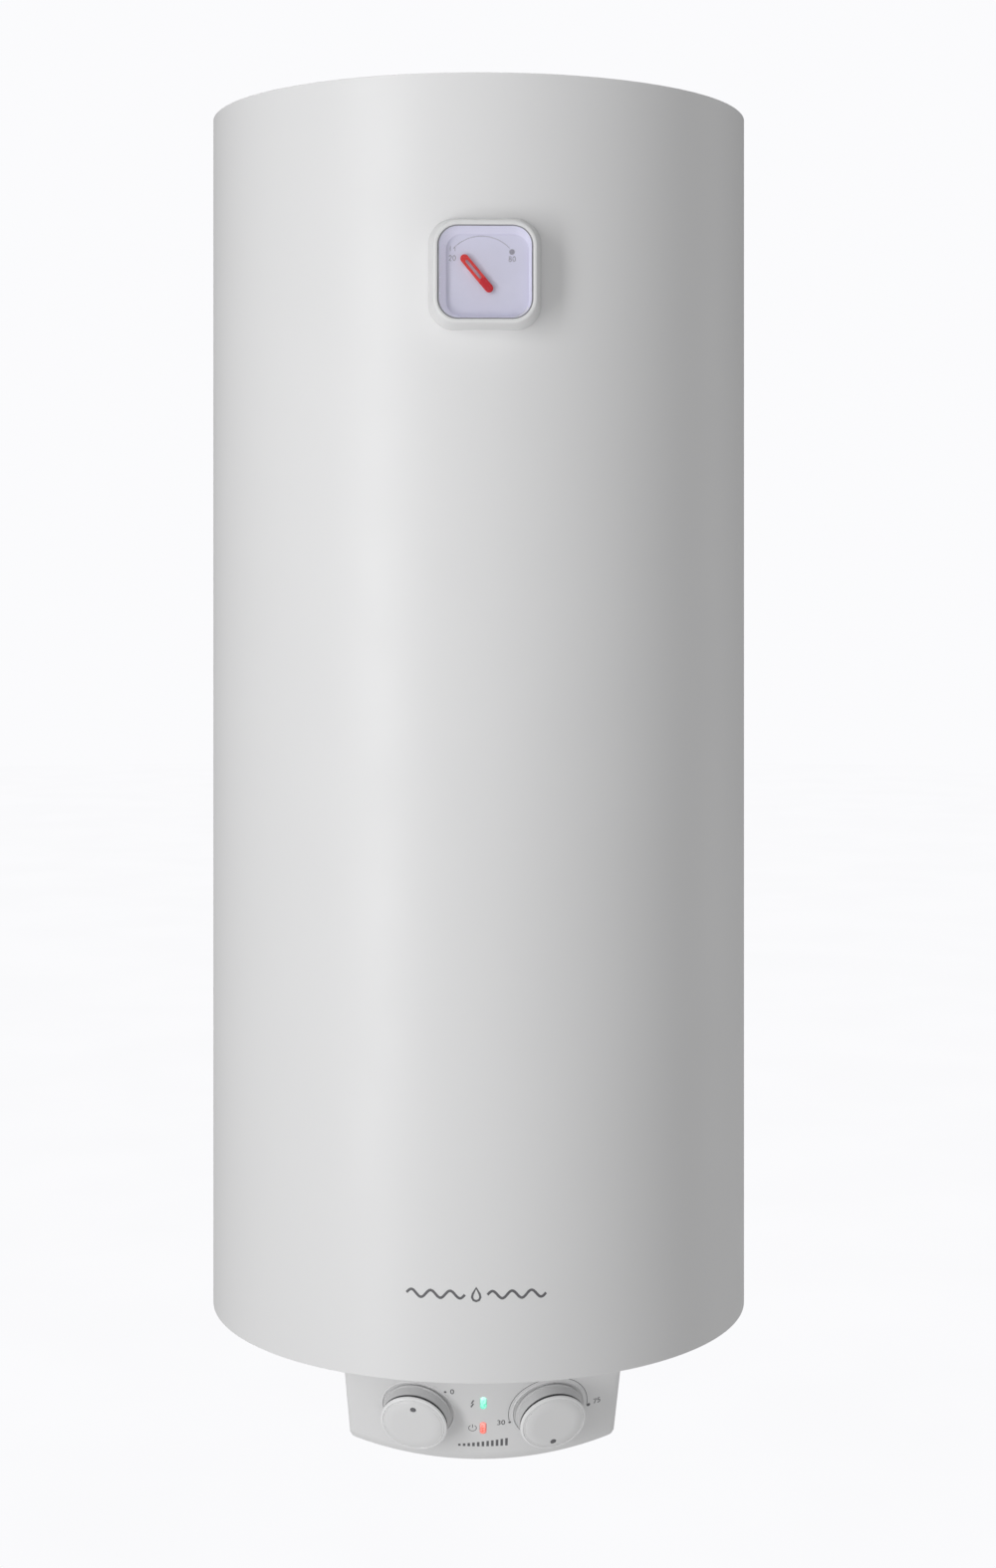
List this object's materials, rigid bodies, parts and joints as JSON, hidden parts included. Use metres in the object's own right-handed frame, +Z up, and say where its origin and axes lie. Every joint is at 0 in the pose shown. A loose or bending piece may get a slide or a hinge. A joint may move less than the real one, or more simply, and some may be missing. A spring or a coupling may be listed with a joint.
{
  "type": "tank water heater",
  "caption": "Slim wall-hung electric storage water heater: round casing, dial thermometer and a control pod with knobs under its base.",
  "frame": {"origin": "centre of the wall bracket's back face, where it lies on the wall", "axes": "+Z up along the tank, the front with the thermometer faces -Y, +Y points into the wall"},
  "size_m": [0.34, 0.3656, 0.83],
  "materials": {
    "casing_paint": "smooth white satin paint",
    "white_plastic": "satin moulded white",
    "knob_plastic": "satin moulded pale grey",
    "enamel": "vitreous enamel on steel",
    "foam": "rigid polyurethane foam",
    "steel": "zinc-plated",
    "brass": "turned",
    "copper": "drawn copper",
    "magnesium": "cast magnesium alloy",
    "ceramic": "unglazed",
    "rubber": "black gasket rubber",
    "dark_plastic": "black moulded",
    "ivory_plastic": "ivory moulded",
    "blue_plastic": "moulded",
    "red_plastic": "moulded",
    "clear_plastic": "clear polycarbonate",
    "dial_print": "printed pale lavender",
    "green_lens": "glowing translucent green",
    "red_lens": "glowing translucent red",
    "circuit_board": "solder mask"
  },
  "bodies": {
    "root": {"outer_casing": "casing_paint", "top_cap": "white_plastic", "bottom_cap": "white_plastic", "inner_tank": "enamel", "foam_insulation": "foam", "hot_nipple": "steel", "cold_nipple": "steel", "hot_collar": "red_plastic", "cold_collar": "blue_plastic", "hot_riser_tube": "steel", "inlet_diffuser": "ivory_plastic", "flange_plate": "steel", "flange_gasket": "rubber", "flange_bolt_1": "steel", "flange_bolt_2": "steel", "flange_bolt_3": "steel", "flange_bolt_4": "steel", "flange_bolt_5": "steel", "heater_sheath_left": "enamel", "heater_sheath_right": "enamel", "heating_element_left": "ceramic", "heating_element_right": "ceramic", "sensor_pocket": "copper", "anode_rod": "magnesium", "anode_nut": "steel", "earth_screw": "brass", "control_cover": "white_plastic", "control_chassis": "steel", "chassis_screw": "steel", "cover_screw_left": "steel", "cover_screw_right": "steel", "cable_gland": "dark_plastic", "terminal_block": "ivory_plastic", "power_switch_body": "dark_plastic", "thermostat_body": "ivory_plastic", "thermostat_capillary": "copper", "cutout_capillary": "copper", "cutout_body": "dark_plastic", "lamp_board": "circuit_board", "green_lamp": "green_lens", "red_lamp": "red_lens", "gauge_bezel": "white_plastic", "gauge_lens": "clear_plastic", "gauge_dial": "dial_print", "gauge_movement": "brass", "wall_bracket": "steel", "lower_bracket": "steel", "bracket_bolt_left": "steel", "bracket_bolt_right": "steel", "lower_bolt_left": "steel", "lower_bolt_right": "steel"},
    "power_knob": {"power_knob": "knob_plastic", "power_knob_cap": "knob_plastic", "power_shaft": "brass"},
    "temperature_knob": {"temperature_knob": "knob_plastic", "temperature_knob_cap": "knob_plastic", "thermostat_shaft": "brass"},
    "pointer": {"gauge_pointer": "red_plastic", "gauge_spindle": "steel"},
    "reset_button": {"cutout_reset_button": "red_plastic"}
  },
  "joints": [
    {"name": "power_knob_turn", "type": "hinge", "parent": "root", "child": "power_knob", "pos_m": [-0.03881, -0.30763, -0.67064], "axis": [-0.2156, -0.8806, -0.4219], "range_deg": [-45, 90]},
    {"name": "temperature_knob_turn", "type": "hinge", "parent": "root", "child": "temperature_knob", "pos_m": [0.03881, -0.30763, -0.67064], "axis": [0.2156, -0.8806, -0.4219], "range_deg": [-282, 0]},
    {"name": "pointer_swing", "type": "hinge", "parent": "root", "child": "pointer", "pos_m": [0, -0.358, -0.0094], "axis": [0, -1, 0], "range_deg": [-84, 8], "stiffness_Nm_per_rad": 0.002},
    {"name": "reset_button_press", "type": "slide", "parent": "root", "child": "reset_button", "axis": [0, -0.4321, 0.9018], "range_m": [0, 0.002], "stiffness_N_per_m": 400}
  ]
}
